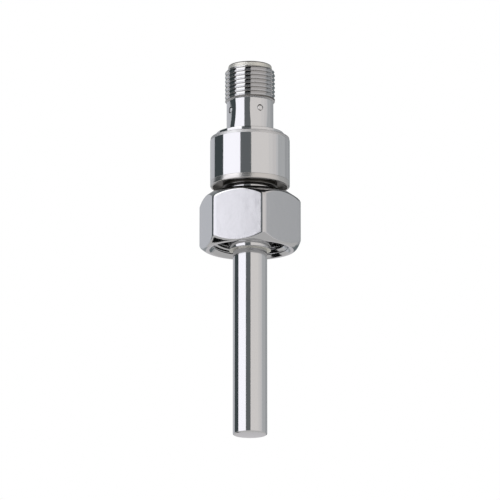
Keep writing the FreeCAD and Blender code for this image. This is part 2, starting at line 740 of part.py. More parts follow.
def insulating_sleeve():
    """Tube round wires and crimps, standing on the filling."""
    outer = "rod_bore - fit_clearance"
    turned("insulating_sleeve", [
        (f"{outer} - sleeve_wall", "filling_top"),
        (outer, "filling_top"),
        (outer, "rod_spigot_length - sleeve_top_gap"),
        (f"{outer} - sleeve_wall", "rod_spigot_length - sleeve_top_gap"),
    ])


def check_document():
    """Stop if any object failed or any piece isn't one valid solid."""
    doc.recompute()
    failed = [item.Name for item in doc.Objects if {"Invalid", "Error"} & set(item.State)]
    broken = [
        piece.Label
        for piece in pieces
        if piece.Shape.isNull() or not piece.Shape.isValid() or len(piece.Shape.Solids) != 1
    ]
    if failed or broken:
        raise RuntimeError(f"failed objects {failed}, broken pieces {broken}")


def write_pieces():
    os.makedirs("parts", exist_ok=True)
    for piece in pieces:
        piece.Shape.exportStep(f"parts/{piece.Label}.step")


probe_tube()
stem()
flange_seal()
thrust_washer()
union_nut()
base_ring()
connector_housing()
contact_carrier()
carrier_seal()
contact_pins()
terminal_board()
potting()
lead_wires()
sensing_element()
tip_filling()
insulating_sleeve()
check_document()
write_pieces()
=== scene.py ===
"""Temperature probe: the looks of its pieces, its threads and the studio that shows it."""
import math
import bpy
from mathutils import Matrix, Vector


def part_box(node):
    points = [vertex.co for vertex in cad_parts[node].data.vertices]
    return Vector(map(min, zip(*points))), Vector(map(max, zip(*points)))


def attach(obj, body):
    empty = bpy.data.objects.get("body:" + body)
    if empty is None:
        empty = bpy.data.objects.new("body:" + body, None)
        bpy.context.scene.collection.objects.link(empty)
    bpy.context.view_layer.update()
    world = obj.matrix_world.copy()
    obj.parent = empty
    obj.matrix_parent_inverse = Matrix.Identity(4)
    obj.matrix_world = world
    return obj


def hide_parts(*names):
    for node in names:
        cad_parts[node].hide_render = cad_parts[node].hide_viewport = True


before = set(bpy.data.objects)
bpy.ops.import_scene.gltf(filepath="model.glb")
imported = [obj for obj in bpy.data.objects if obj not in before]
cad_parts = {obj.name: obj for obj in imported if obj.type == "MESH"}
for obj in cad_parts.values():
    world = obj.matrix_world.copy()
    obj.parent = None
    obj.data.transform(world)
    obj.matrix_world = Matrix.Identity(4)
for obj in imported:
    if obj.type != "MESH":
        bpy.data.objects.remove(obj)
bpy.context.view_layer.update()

from types import SimpleNamespace

import bmesh
import bpy
from mathutils import Matrix, Vector

bl_info = {
    "name": "Temperature probe",
    "version": (1, 0, 0),
    "blender": (4, 5, 0),
    "location": "View3D > Sidebar > Probe",
    "description": "Models the visible pieces of a temperature probe and lights them in a studio",
    "category": "Add Mesh",
}

MM = 0.001
QUARTER_TURN = math.pi / 2
# Points nearer to each other than this are one point.
SAME_PLACE = 0.002 * MM
# Steps of a full turn on a turned piece, on the nut and on a thread.
TURN_STEPS = 192
NUT_STEPS = 432
THREAD_STEPS = 96
# Steps of a rounded edge.
ROUND_STEPS = 6
# Edges that bend by more than this stay sharp.
SMOOTH_ANGLE = math.radians(28)
# What deburring takes off an edge, and off one that is meant to catch the light.
EDGE_BREAK = 0.05 * MM
BRIGHT_EDGE = 0.06 * MM
# Play between pieces that fit into each other.
PLAY = 0.03 * MM


def linear(hex_colour):
    """Linear RGBA of an sRGB hex colour."""
    channels = [int(hex_colour[place:place + 2], 16) / 255 for place in (1, 3, 5)]
    values = [c / 12.92 if c <= 0.04045 else ((c + 0.055) / 1.055) ** 2.4 for c in channels]
    return (*values, 1.0)


def length(label, about, millimetres):
    """A length property that a user can change."""
    return bpy.props.FloatProperty(
        name=label, description=about, default=millimetres * MM, unit="LENGTH", precision=5
    )


def colour(label, about, value):
    """A colour property that a user can change."""
    return bpy.props.FloatVectorProperty(
        name=label, description=about, default=linear(value), size=4, subtype="COLOR", min=0, max=1
    )


class ProbeSizes(bpy.types.PropertyGroup):
    """Sizes of the visible pieces that the frame's boxes don't give."""

    crown_height: length("Crown height", "Tapered band above the body's side", 0.8)
    crown_taper: length("Crown taper", "Taper of that band, measured inwards", 0.1)
    shoulder_width: length("Shoulder width", "Body's side to the step on top of it", 1.35)
    shoulder_rise: length("Shoulder rise", "Height of that step", 1.05)
    shoulder_round: length("Shoulder round", "Edges of band and step", 0.12)
    body_wall: length("Body wall", "Wall of the body", 1.55)
    roof: length("Roof", "Wall over the body's cavity", 1.4)
    neck_diameter: length("Neck diameter", "Smooth neck of the connector", 11.25)
    neck_length: length("Neck length", "Neck from the body's step to the thread", 7.8)
    thread_diameter: length("Thread diameter", "Outside of the connector's thread", 12)
    thread_length: length("Thread length", "Connector's thread with its run-outs", 8)
    thread_pitch: length("Thread pitch", "Pitch of the connector's thread", 1)
    thread_chamfer: length("Thread chamfer", "Ends of the connector's thread", 0.5)
    rim_step: length("Rim step", "Thread down to the plain rim above it", 0.75)
    rim_length: length("Rim length", "Height of the plain rim", 1.2)
    rim_round: length("Rim round", "Outer edge of the rim", 0.4)
    socket_diameter: length("Socket diameter", "Inside of the connector", 8.6)
    stake_diameter: length("Stake diameter", "Round mark of the staking punch", 1.6)
    stake_depth: length("Stake depth", "Depth of a staking mark", 0.22)
    stake_dishes: bpy.props.FloatVectorProperty(
        name="Stake dishes",
        description="Depth by which each staking blow drew the wall in",
        default=[depth * MM for depth in (0.17, 0.14, 0.2, 0.34)],
        size=4,
        unit="LENGTH",
        precision=5,
    )
    stake_reach: length("Stake reach", "Reach of a dish round the neck", 2.9)
    stake_reach_along: length("Stake reach along", "Reach of a dish along the neck", 6.5)
    stake_drop: length("Stake drop", "Staking marks below the thread", 2.4)
    stake_angle: bpy.props.FloatProperty(
        name="Stake angle",
        description="First staking mark, from the front",
        default=math.radians(41.5),
        unit="ROTATION",
    )
    base_height: length("Base height", "Rim of the ring that closes the body", 1.3)
    base_edge: length("Base edge", "Rounded edge of that rim", 0.4)
    base_lip: length("Base lip", "Rim round the recess under the ring", 0.55)
    base_land: length("Base land", "Face round the stem, inside that recess", 0.3)
    base_recess: length("Base recess", "Depth of the recess", 1)
    stem_neck: length("Stem neck", "Diameter of the stem between flange and body", 12.5)
    stem_spigot: length("Stem spigot", "Stem inside the base ring, on the radius", 5.7)
    collar_diameter: length("Collar diameter", "Lip at the end of the collar", 10.1)
    collar_length: length("Collar length", "Collar up to the flange", 7.2)
    lip_height: length("Lip height", "Lip below the sealing cone", 0.2)
    cone_inset: length("Cone inset", "Foot of the sealing cone inside the lip", 0.2)
    cone_height: length("Cone height", "Height of the sealing cone", 2.05)
    cone_flare: length("Cone flare", "Sealing cone from foot to top, on the radius", 0.55)
    flange_thickness: length("Flange thickness", "Height of the stem's flange", 2.5)
    rod_bore: length("Rod bore", "Inside of the rod's tube, on the radius", 3.3)
    rod_spigot: length("Rod spigot", "Rod inside the stem, on the radius", 3.75)
    tip_thickness: length("Tip thickness", "Closed end of the rod", 1.2)
    tip_round: length("Tip round", "Edge of the rod's tip", 0.35)
    nut_corner_radius: length("Nut corner radius", "Rounding of the nut's six corners", 1.2)
    nut_edge_round: length("Nut edge round", "Soft edges between flats and chamfers", 0.3)
    nut_corner_wear: length("Nut corner wear", "More softness of those edges at the corners", 0.8)
    nut_top_face: length("Nut top face", "Radius of the flat ring on top of the nut", 9.75)
    nut_bottom_face: length("Nut bottom face", "Radius of the ring under the nut", 10.8)
    nut_bottom_round: length("Nut bottom round", "Rolled outer edge of that ring", 2)
    nut_mouth_round: length("Nut mouth round", "Rolled edge between that ring and the mouth", 0.8)
    nut_roof: length("Nut roof", "Nut above its inner shoulder", 3)
    nut_hole: length("Nut hole", "Radius of the nut's upper hole", 6.7)
    nut_thread_minor: length("Nut bore", "Crest diameter of the nut's thread", 16.376)
    nut_thread_major: length("Nut thread root", "Root diameter of the nut's thread", 18)
    nut_thread_pitch: length("Nut thread pitch", "Pitch of the nut's thread", 1.5)
    nut_mouth: length("Nut mouth", "Countersink past the thread's root", 0.6)
    nut_relief: length("Nut relief", "Undercut behind the nut's thread", 2)


class ProbeColours(bpy.types.PropertyGroup):
    """Colours of the finishes and of the studio."""

    polished_steel: colour("Polished steel", "Polished stainless steel", "#cfcfd0")
    turned_steel: colour("Turned steel", "Turned stainless steel left unpolished", "#dad9d2")
    ring_steel: colour("Base ring steel", "Fine-turned stainless steel of the base ring", "#c9c7c5")
    tumbled_steel: colour("Tumbled steel", "Tumbled stainless steel of the nut", "#c8c8ca")
    carrier: colour("Contact carrier", "Black moulded polyamide", "#1d1d1f")
    rubber: colour("Seals", "Black fluorocarbon rubber", "#1a1a1a")
    gold: colour("Contacts", "Gold plating of the pins", "#dcb465")
    washer: colour("Thrust washer", "Natural bearing plastic", "#e2ddcf")
    laminate: colour("Terminal board", "Green solder mask", "#1f5a38")
    wire: colour("Wire insulation", "White fluoropolymer", "#ecebe6")
    tin: colour("Tinned copper", "Crimps and bare leads", "#cbcbc8")
    ceramic: colour("Chip ceramic", "White alumina", "#f0eee8")
    sleeve: colour("Insulating sleeve", "Milky fluoropolymer", "#e4e2da")
    paste: colour("Filling", "Grey heat-conducting paste", "#b9b9b7")
    resin: colour("Potting", "Black cast resin", "#242424")
    floor: colour("Floor", "Pale studio floor", "#f1f0ee")


def add_node(tree, kind, inputs=(), **settings):
    """Add a node with its settings; each input takes a value or the socket that feeds it."""
    node = tree.nodes.new(kind)
    for name, value in settings.items():
        setattr(node, name, value)
    for name, value in dict(inputs).items():
        if isinstance(value, bpy.types.NodeSocket):
            tree.links.new(value, node.inputs[name])
        else:
            node.inputs[name].default_value = value
    return node


def new_tree(name):
    """An empty node material and its tree."""
    material = bpy.data.materials.new(name)
    material.use_nodes = True
    material.node_tree.nodes.clear()
    return material, material.node_tree


def close_tree(tree, **shader):
    """End a material in one Principled shader with these inputs."""
    names = {name.replace("_", " "): value for name, value in shader.items()}
    surface = add_node(tree, "ShaderNodeBsdfPrincipled", names)
    add_node(tree, "ShaderNodeOutputMaterial", {"Surface": surface.outputs["BSDF"]})


def lathe_stainless(name, base, roughness, mark_width, mark_depth):
    """Stainless steel off a lathe: a mirror that its feed marks, rings round the axis, blur a little.

    Widths and depths are in millimetres. Real marks lie about 0.05 mm apart; on the polished pieces they
    are drawn coarser, so that they show. Polishing leaves patches that are a little clearer or duller."""
    patch_size = 2.5 * MM
    clearest, dullest = roughness * 0.8, roughness * 1.25
    material, tree = new_tree(name)
    place = add_node(tree, "ShaderNodeTexCoord").outputs["Object"]
    height = add_node(tree, "ShaderNodeSeparateXYZ", {"Vector": place}).outputs["Z"]
    marks = add_node(
        tree,
        "ShaderNodeTexNoise",
        {"W": height, "Scale": 1 / (mark_width * MM), "Detail": 2},
        noise_dimensions="1D",
    ).outputs["Fac"]
    bump = add_node(
        tree, "ShaderNodeBump", {"Height": marks, "Strength": 1, "Distance": mark_depth * MM}
    ).outputs["Normal"]
    patches = add_node(
        tree, "ShaderNodeTexNoise", {"Vector": place, "Scale": 1 / patch_size, "Detail": 3}
    ).outputs["Fac"]
    gloss = add_node(
        tree, "ShaderNodeMapRange", {"Value": patches, "To Min": clearest, "To Max": dullest}
    ).outputs["Result"]
    close_tree(tree, Base_Color=base, Metallic=1, Roughness=gloss, Normal=bump)
    return material


def unpolished_stainless(name, base):
    """Stainless steel as the lathe left it: its close feed marks spread reflections to a soft sheen."""
    return lathe_stainless(name, base, roughness=0.5, mark_width=0.07, mark_depth=0.02)


def tumbled_stainless(name, base):
    """Stainless steel tumbled in ceramic chips: a soft mirror with a fine peened grain over low waves."""
    grain_size, grain_depth = 0.22 * MM, 0.0048 * MM
    wave_size, wave_depth = 2.2 * MM, 0.006 * MM
    clearest, dullest = 0.06, 0.12
    material, tree = new_tree(name)
    place = add_node(tree, "ShaderNodeTexCoord").outputs["Object"]
    grain = add_node(
        tree, "ShaderNodeTexNoise", {"Vector": place, "Scale": 1 / grain_size, "Detail": 3}
    ).outputs["Fac"]
    waves = add_node(
        tree, "ShaderNodeTexNoise", {"Vector": place, "Scale": 1 / wave_size, "Detail": 1}
    ).outputs["Fac"]
    fine = add_node(
        tree, "ShaderNodeBump", {"Height": grain, "Strength": 1, "Distance": grain_depth}
    ).outputs["Normal"]
    soft = add_node(
        tree, "ShaderNodeBump", {"Height": waves, "Strength": 1, "Distance": wave_depth, "Normal": fine}
    ).outputs["Normal"]
    gloss = add_node(
        tree, "ShaderNodeMapRange", {"Value": grain, "To Min": clearest, "To Max": dullest}
    ).outputs["Result"]
    close_tree(tree, Base_Color=base, Metallic=1, Roughness=gloss, Normal=soft)
    return material


def shade_painted_stainless(name, dark, pale, roughness):
    """Stainless steel painted with shade: a dull skin that clouds from a dark tint to a paler one."""
    cloud_size = 1.5 * MM
    material, tree = new_tree(name)
    place = add_node(tree, "ShaderNodeTexCoord").outputs["Object"]
    clouds = add_node(
        tree, "ShaderNodeTexNoise", {"Vector": place, "Scale": 1 / cloud_size, "Detail": 3}
    ).outputs["Fac"]
    shades = {"Factor": clouds, "A": linear(dark), "B": linear(pale)}
    tint = add_node(tree, "ShaderNodeMix", shades, data_type="RGBA").outputs["Result"]
    close_tree(tree, Base_Color=tint, Metallic=1, Roughness=roughness)
    return material


def inner_finish(name, base, roughness, grain, depth, metallic):
    """A moulded, cast, drawn or plated skin: its colour drifts a little, and a fine grain breaks its gloss.

    The grain's size and depth are in millimetres."""
    drift_size = 3 * MM
    darkest = 0.82
    material, tree = new_tree(name)
    place = add_node(tree, "ShaderNodeTexCoord").outputs["Object"]
    skin = add_node(
        tree, "ShaderNodeTexNoise", {"Vector": place, "Scale": 1 / (grain * MM), "Detail": 3}
    ).outputs["Fac"]
    drift = add_node(
        tree, "ShaderNodeTexNoise", {"Vector": place, "Scale": 1 / drift_size, "Detail": 2}
    ).outputs["Fac"]
    darker = tuple(channel * darkest for channel in base[:3]) + (1,)
    shades = {"Factor": drift, "A": darker, "B": tuple(base)}
    tint = add_node(tree, "ShaderNodeMix", shades, data_type="RGBA").outputs["Result"]
    bump = add_node(
        tree, "ShaderNodeBump", {"Height": skin, "Strength": 1, "Distance": depth * MM}
    ).outputs["Normal"]
    close_tree(tree, Base_Color=tint, Metallic=metallic, Roughness=roughness, Normal=bump)
    return material


def begin(add, name, **settings):
    """Clear the selection and add a primitive under a name."""
    bpy.ops.object.select_all(action="DESELECT")
    add(**settings)
    piece = bpy.context.active_object
    piece.name = name
    piece.data.name = name
    return piece


def select_where(piece, kind, wanted):
    """In edit mode, select the vertices or faces that pass a test and nothing else."""
    bpy.ops.mesh.select_all(action="DESELECT")
    bpy.ops.mesh.select_mode(type=kind)
    mesh = bmesh.from_edit_mesh(piece.data)
    items = {"VERT": mesh.verts, "FACE": mesh.faces}[kind]
    for item in items:
        if wanted(item):
            item.select_set(True)
    mesh.select_flush_mode()
    bmesh.update_edit_mesh(piece.data)


def select_places(piece, *places):
    """In edit mode, select the vertices at these places and nothing else."""

    def at_a_place(vertex):
        return any((vertex.co - place).length < SAME_PLACE for place in places)

    select_where(piece, "VERT", at_a_place)


def draw_line(name, places):
    """A line of edges from place to place, left open in edit mode."""
    piece = begin(bpy.ops.mesh.primitive_plane_add, name, size=MM)
    bpy.ops.object.mode_set(mode="EDIT")
    bpy.ops.mesh.select_mode(type="VERT")
    bpy.ops.mesh.merge(type="CENTER")
    bpy.ops.transform.translate(value=places[0])
    for before, after in zip(places, places[1:]):
        bpy.ops.mesh.extrude_vertices_move(TRANSFORM_OT_translate={"value": after - before})
    return piece


def draw_section(name, corners):
    """A closed half section in the XZ plane; each corner gives its radius, height and rounding."""
    places = [Vector((radius, 0, height)) for radius, height, _ in corners]
    piece = draw_line(name, places)
    select_places(piece, places[0], places[-1])
    bpy.ops.mesh.edge_face_add()
    for index, (_, _, rounding) in enumerate(corners):
        if not rounding:
            continue
        before, here, after = places[index - 1], places[index], places[(index + 1) % len(places)]
        bend = (here - before).angle(after - here)
        select_places(piece, here)
        bpy.ops.mesh.bevel(affect="VERTICES", offset=rounding * math.tan(bend / 2), segments=ROUND_STEPS)
    return piece


def close_surface():
    """In edit mode, merge doubled points, face the surface outwards and go back to object mode."""
    bpy.ops.mesh.select_all(action="SELECT")
    bpy.ops.mesh.remove_doubles(threshold=SAME_PLACE / 4)
    bpy.ops.mesh.delete_loose()
    bpy.ops.mesh.select_all(action="SELECT")
    bpy.ops.mesh.normals_make_consistent(inside=False)
    bpy.ops.object.mode_set(mode="OBJECT")


def turn(name, corners, steps=TURN_STEPS):
    """A turned piece: a half section spun about the probe's axis."""
    piece = draw_section(name, corners)
    bpy.ops.mesh.select_all(action="SELECT")
    bpy.ops.mesh.spin(steps=steps, angle=math.tau, center=(0, 0, 0), axis=(0, 0, 1))
    close_surface()
    return piece


def apply_modifier(piece, kind, **settings):
    """Add a modifier with its settings and apply it."""
    bpy.context.view_layer.objects.active = piece
    modifier = piece.modifiers.new(kind.lower(), kind)
    for name, value in settings.items():
        setattr(modifier, name, value)
    bpy.ops.object.modifier_apply(modifier=modifier.name)


def thread_section(crest, pitch, start, outside):
    """Corners of one groove of a 60 degree thread with a rounded root, open a little beyond its crest."""
    half_mouth, half_tool, root_round = pitch * 0.43, pitch * 0.48, pitch * 0.16
    outwards = 1 if outside else -1
    steepness = 1 / math.tan(math.radians(60 / 2))
    apex = crest - outwards * half_mouth * steepness
    beyond = crest + outwards * (half_tool - half_mouth) * steepness
    return [(beyond, start - half_tool, 0), (apex, start, root_round), (beyond, start + half_tool, 0)]


def thread_cutter(name, corners, pitch, turns):
    """A thread tool: a closed section carried up a right-hand helix, with its ends filled."""
    piece = draw_section(name, corners)
    bpy.ops.object.mode_set(mode="OBJECT")
    apply_modifier(
        piece,
        "SCREW",
        axis="Z",
        angle=math.tau,
        screw_offset=pitch,
        iterations=turns,
        steps=THREAD_STEPS,
        render_steps=THREAD_STEPS,
        use_normal_calculate=True,
    )
    bpy.ops.object.mode_set(mode="EDIT")
    bpy.ops.mesh.select_mode(type="VERT")
    bpy.ops.mesh.select_all(action="DESELECT")
    bpy.ops.mesh.select_non_manifold()
    bpy.ops.mesh.fill_holes(sides=0)
    close_surface()
    return piece


def cut_away(piece, tool):
    """Cut the shape of a tool out of a piece and take the tool away."""
    faces_before = len(piece.data.polygons)
    apply_modifier(piece, "BOOLEAN", object=tool, operation="DIFFERENCE", solver="MANIFOLD")
    bpy.data.objects.remove(tool)
    if len(piece.data.polygons) in (0, faces_before):
        raise RuntimeError(f"{piece.name} wasn't shaped by its tool")


def finish_piece(piece, material, body, node):
    """Smooth a finished piece, give it its material and put it in the place of its frame node."""
    bpy.ops.object.select_all(action="DESELECT")
    piece.select_set(True)
    bpy.context.view_layer.objects.active = piece
    bpy.ops.object.shade_smooth_by_angle(angle=SMOOTH_ANGLE)
    apply_modifier(piece, "WEIGHTED_NORMAL", mode="FACE_AREA", weight=100, keep_sharp=True)
    piece.data.materials.clear()
    piece.data.materials.append(material)
    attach(piece, body)
    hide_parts(node)


def paint_faces(piece, material, wanted):
    """Give the faces that pass a test a material of their own."""
    piece.data.materials.append(material)
    piece.active_material_index = len(piece.data.materials) - 1
    bpy.ops.object.mode_set(mode="EDIT")
    select_where(piece, "FACE", wanted)
    bpy.ops.object.material_slot_assign()
    bpy.ops.object.mode_set(mode="OBJECT")


def ring_of(face):
    """The radius and the height at which a face lies."""
    place = face.calc_center_median()
    return math.hypot(place.x, place.y), place.z


class PROBE_OT_connector_housing(bpy.types.Operator):
    """Model the body with its shoulder, neck, staking marks, thread and rim"""

    bl_idname = "probe.connector_housing"
    bl_label = "Connector housing"

    neck_fillet = 0.15 * MM
    socket_lead_in = 0.3 * MM
    # Rows of faces along the neck, so that its dishes come out smooth.
    neck_rows = 24
    # Height of the thread's lower run-out, as a share of its chamfer.
    run_out_share = 0.6
    # The groove starts this many pitches above the thread's lower end, on the far side.
    groove_rise = 0.55
    groove_turn = math.radians(120)
    punch_sides = 48
    punch_reach = 1 * MM
    # Width of a mark's ring groove and of the slope inside it, and the rise of its centre.
    ring_width = 0.14 * MM
    centre_rise = 0.16 * MM
    # How far a face may lie from the band or floor that it belongs to.
    band_tolerance = 0.06 * MM
    floor_tolerance = 0.03 * MM
    # How far the normals of a band, of the rim's edge and of the thread's lower end point up.
    band_lean = 0.25
    edge_lean = (0.3, 0.95)
    run_out_lean = -0.4

    def execute(self, context):
        sizes = context.scene.probe_sizes
        colours = context.scene.probe_colours
        at = self.measure(sizes)
        piece = self.turn_blank(sizes, at)
        self.dish_neck(piece, sizes, at)
        self.strike_marks(piece, sizes, at)
        self.cut_thread(piece, sizes, at)
        # Polished: a clear mirror with rings that hardly show.
        polished = lathe_stainless("polished_stainless", colours.polished_steel, 0.075, 0.35, 0.0006)
        finish_piece(piece, polished, "probe", "connector_housing")
        self.paint(piece, sizes, colours, at)
        return {"FINISHED"}

    def measure(self, sizes):
        """Radii and heights that the housing's steps share."""
        low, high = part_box("connector_housing")
        at = SimpleNamespace(side=high.x, bottom=low.z, top=high.z)
        at.neck = sizes.neck_diameter / 2
        at.thread = sizes.thread_diameter / 2
        at.rim = at.thread - sizes.rim_step
        at.rim_base = at.top - sizes.rim_length
        at.thread_base = at.rim_base - sizes.thread_length
        at.run_out_top = at.thread_base + sizes.thread_chamfer * self.run_out_share
        at.mark_height = at.thread_base - sizes.stake_drop
        at.shoulder_top = at.thread_base - sizes.neck_length
        at.crown_top = at.shoulder_top - sizes.shoulder_rise
        at.crown_base = at.crown_top - sizes.crown_height
        return at

    def turn_blank(self, sizes, at):
        """The plain housing: up its outside from the lower edge, and back down through the socket."""
        bore = at.side - sizes.body_wall
        step = at.side - sizes.shoulder_width
        chamfered = at.thread - sizes.thread_chamfer
        socket = sizes.socket_diameter / 2
        roof = at.shoulder_top - sizes.roof
        neck = [
            (at.neck, at.thread_base - row / self.neck_rows * sizes.neck_length, 0)
            for row in reversed(range(self.neck_rows))
        ]
        return turn("threaded_housing", [
            (bore, at.bottom, 0),
            (at.side, at.bottom, BRIGHT_EDGE),
            (at.side, at.crown_base, 0),
            (at.side - sizes.crown_taper, at.crown_top, sizes.shoulder_round),
            (step, at.crown_top, 0),
            (step, at.shoulder_top, sizes.shoulder_round),
            (at.neck, at.shoulder_top, self.neck_fillet),
            *neck,
            (chamfered, at.thread_base, 0),
            (at.thread, at.run_out_top, 0),
            (at.thread, at.rim_base - sizes.thread_chamfer, 0),
            (chamfered, at.rim_base, 0),
            (at.rim, at.rim_base, 0),
            (at.rim, at.top, sizes.rim_round),
            (socket + self.socket_lead_in, at.top, EDGE_BREAK),
            (socket, at.top - self.socket_lead_in, EDGE_BREAK),
            (socket, roof, 0),
            (bore - sizes.body_wall, roof, 0),
            (bore, roof - sizes.body_wall, 0),
        ])

    def nearest_mark(self, place, sizes):
        """The number of the staking mark nearest to a place, and the angle from that mark to it."""
        turned = math.atan2(place.x, -place.y) - sizes.stake_angle
        quarter = round(turned / QUARTER_TURN)
        return quarter % 4, turned - quarter * QUARTER_TURN

    def dish_neck(self, piece, sizes, at):
        """The blow that struck a mark drew the wall round it in a little."""
        for vertex in piece.data.vertices:
            place = vertex.co
            if abs(math.hypot(place.x, place.y) - at.neck) > SAME_PLACE:
                continue
            mark, angle = self.nearest_mark(place, sizes)
            aside = angle * at.neck / sizes.stake_reach
            along = (place.z - at.mark_height) / sizes.stake_reach_along
            part = min(math.hypot(aside, along), 1)
            drawn = sizes.stake_dishes[mark] * (1 - part ** 2) ** 2
            place.x *= 1 - drawn / at.neck
            place.y *= 1 - drawn / at.neck

    def mark_floor(self, mark, sizes, at):
        """How far from the axis the floor of a mark's ring groove lies."""
        return at.neck - sizes.stake_dishes[mark] - sizes.stake_depth

    def strike_marks(self, piece, sizes, at):
        """Four round marks of a staking punch: a ring groove round an almost flush centre."""
        for mark in range(4):
            floor = self.mark_floor(mark, sizes, at)
            punch = begin(
                bpy.ops.mesh.primitive_cylinder_add,
                "punch",
                vertices=self.punch_sides,
                radius=sizes.stake_diameter / 2,
                depth=self.punch_reach,
                rotation=(QUARTER_TURN, 0, 0),
                location=(0, -floor - self.punch_reach / 2, at.mark_height),
            )
            bpy.ops.object.transform_apply(location=True, rotation=True, scale=True)
            bpy.ops.object.mode_set(mode="EDIT")
            # The end that looks towards the axis.
            select_where(punch, "FACE", lambda face: face.normal.y > 0.9)
            bpy.ops.mesh.inset(thickness=self.ring_width)
            bpy.ops.mesh.inset(thickness=self.ring_width)
            bpy.ops.transform.translate(value=(0, -self.centre_rise, 0))
            bpy.ops.object.mode_set(mode="OBJECT")
            punch.data.transform(Matrix.Rotation(sizes.stake_angle + mark * QUARTER_TURN, 4, "Z"))
            cut_away(piece, punch)

    def cut_thread(self, piece, sizes, at):
        """A right-hand groove that starts on the far side and runs out through the upper chamfer."""
        pitch = sizes.thread_pitch
        turns = math.ceil(sizes.thread_length / pitch)
        section = thread_section(at.thread, pitch, at.thread_base + pitch * self.groove_rise, True)
        cutter = thread_cutter("thread_cutter", section, pitch, turns)
        cutter.data.transform(Matrix.Rotation(self.groove_turn, 4, "Z"))
        cut_away(piece, cutter)

    def paint(self, piece, sizes, colours, at):
        """Finishes of the bands that weren't polished, and shade painted on the crests, the rim's edge and
        the marks.
        """
        crown = at.crown_base, at.crown_top, at.side - sizes.crown_taper / 2
        rim = at.rim_base, at.top, at.rim
        crests = at.thread_base, at.rim_base, at.thread
        # Brushed round the axis: a grey sheen on the crown band and below the thread.
        brushed = unpolished_stainless("brushed_stainless", colours.polished_steel)
        paint_faces(piece, brushed, lambda face: self.on_band(face, *crown) or self.under_thread(face, at))
        # Turned and left so: a pale, warm sheen on the rim.
        turned = unpolished_stainless("turned_stainless", colours.turned_steel)
        paint_faces(piece, turned, lambda face: self.on_band(face, *rim))
        # Painted shade: dull dark lines on the crests and on the rim's edge, standing in for their shade
        # and dark reflections.
        shade_lines = shade_painted_stainless("painted_shade_lines", "#666361", "#797774", 0.5)
        paint_faces(
            piece, shade_lines, lambda face: self.on_band(face, *crests) or self.on_rim_edge(face, sizes, at)
        )
        # Painted shade: almost black in the grooves of the marks.
        groove_shade = shade_painted_stainless("painted_groove_shade", "#1f1d1b", "#35322e", 0.35)
        paint_faces(piece, groove_shade, lambda face: self.on_mark(face, sizes, at))

    def on_band(self, face, bottom, top, radius):
        """Whether an upright face lies on a turned band."""
        reach, height = ring_of(face)
        near = abs(reach - radius) < self.band_tolerance
        return near and bottom < height < top and abs(face.normal.z) < self.band_lean

    def under_thread(self, face, at):
        """Whether a face looks down from the lower end of the thread."""
        _, height = ring_of(face)
        below = at.thread_base - SAME_PLACE < height < at.run_out_top
        return below and face.normal.z < self.run_out_lean

    def on_rim_edge(self, face, sizes, at):
        """Whether a face belongs to the rim's rounded outer edge, from where it leans back."""
        reach, height = ring_of(face)
        outside = height > at.top - sizes.rim_round and reach > at.rim - sizes.rim_round
        least, most = self.edge_lean
        return outside and least < face.normal.z < most

    def on_mark(self, face, sizes, at):
        """Whether a face takes the painted shade: on the floor of a mark's ring groove, apart from its
        right side.
        """
        place = face.calc_center_median()
        radius = sizes.stake_diameter / 2
        if abs(place.z - at.mark_height) > radius:
            return False
        mark, angle = self.nearest_mark(place, sizes)
        along = math.hypot(place.x, place.y) * math.cos(angle)
        aside = along * math.tan(angle)
        near = abs(along - self.mark_floor(mark, sizes, at)) < self.floor_tolerance
        return near and -radius < aside < radius / 2


